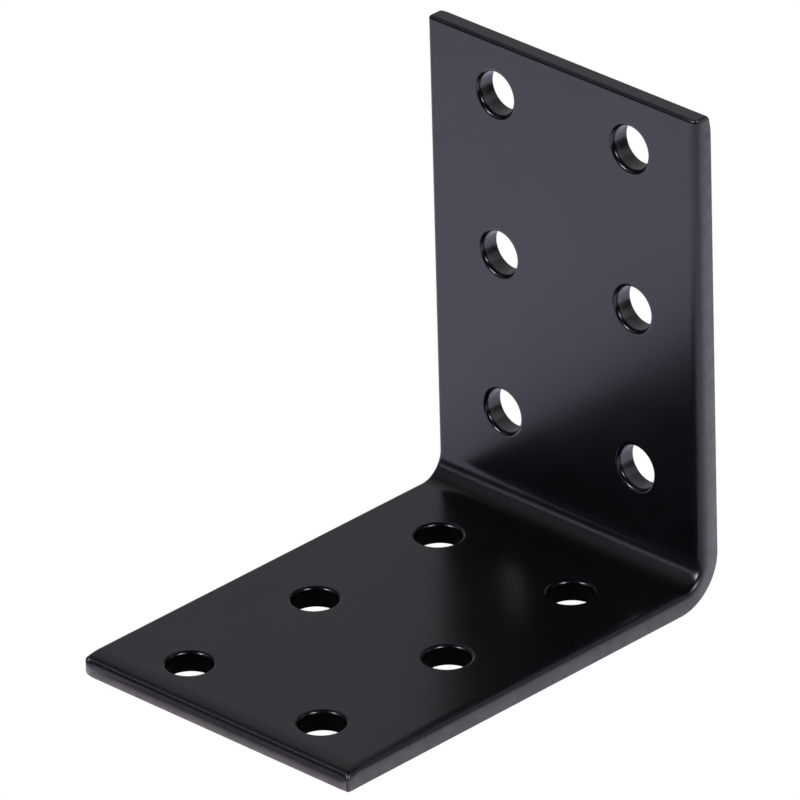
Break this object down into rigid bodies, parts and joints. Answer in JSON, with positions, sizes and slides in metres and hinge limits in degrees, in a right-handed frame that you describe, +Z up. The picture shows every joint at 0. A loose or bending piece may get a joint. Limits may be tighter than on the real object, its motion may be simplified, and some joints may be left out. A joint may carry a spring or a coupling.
{
  "type": "perforated angle bracket",
  "caption": "Right-angle bracket folded from thick coated sheet, with a grid of round screw holes in each leg.",
  "frame": {"origin": "on the underside, under the middle of the flat leg: the bottom centre of the overall box", "axes": "+X across the strip, +Y from the flat leg's free end to the upright leg's back, +Z up the upright leg"},
  "size_m": [0.0408, 0.0598, 0.0606],
  "materials": {
    "black_coating": "satin black powder coat"
  },
  "bodies": {
    "root": {"bracket": "black_coating"}
  },
  "joints": []
}
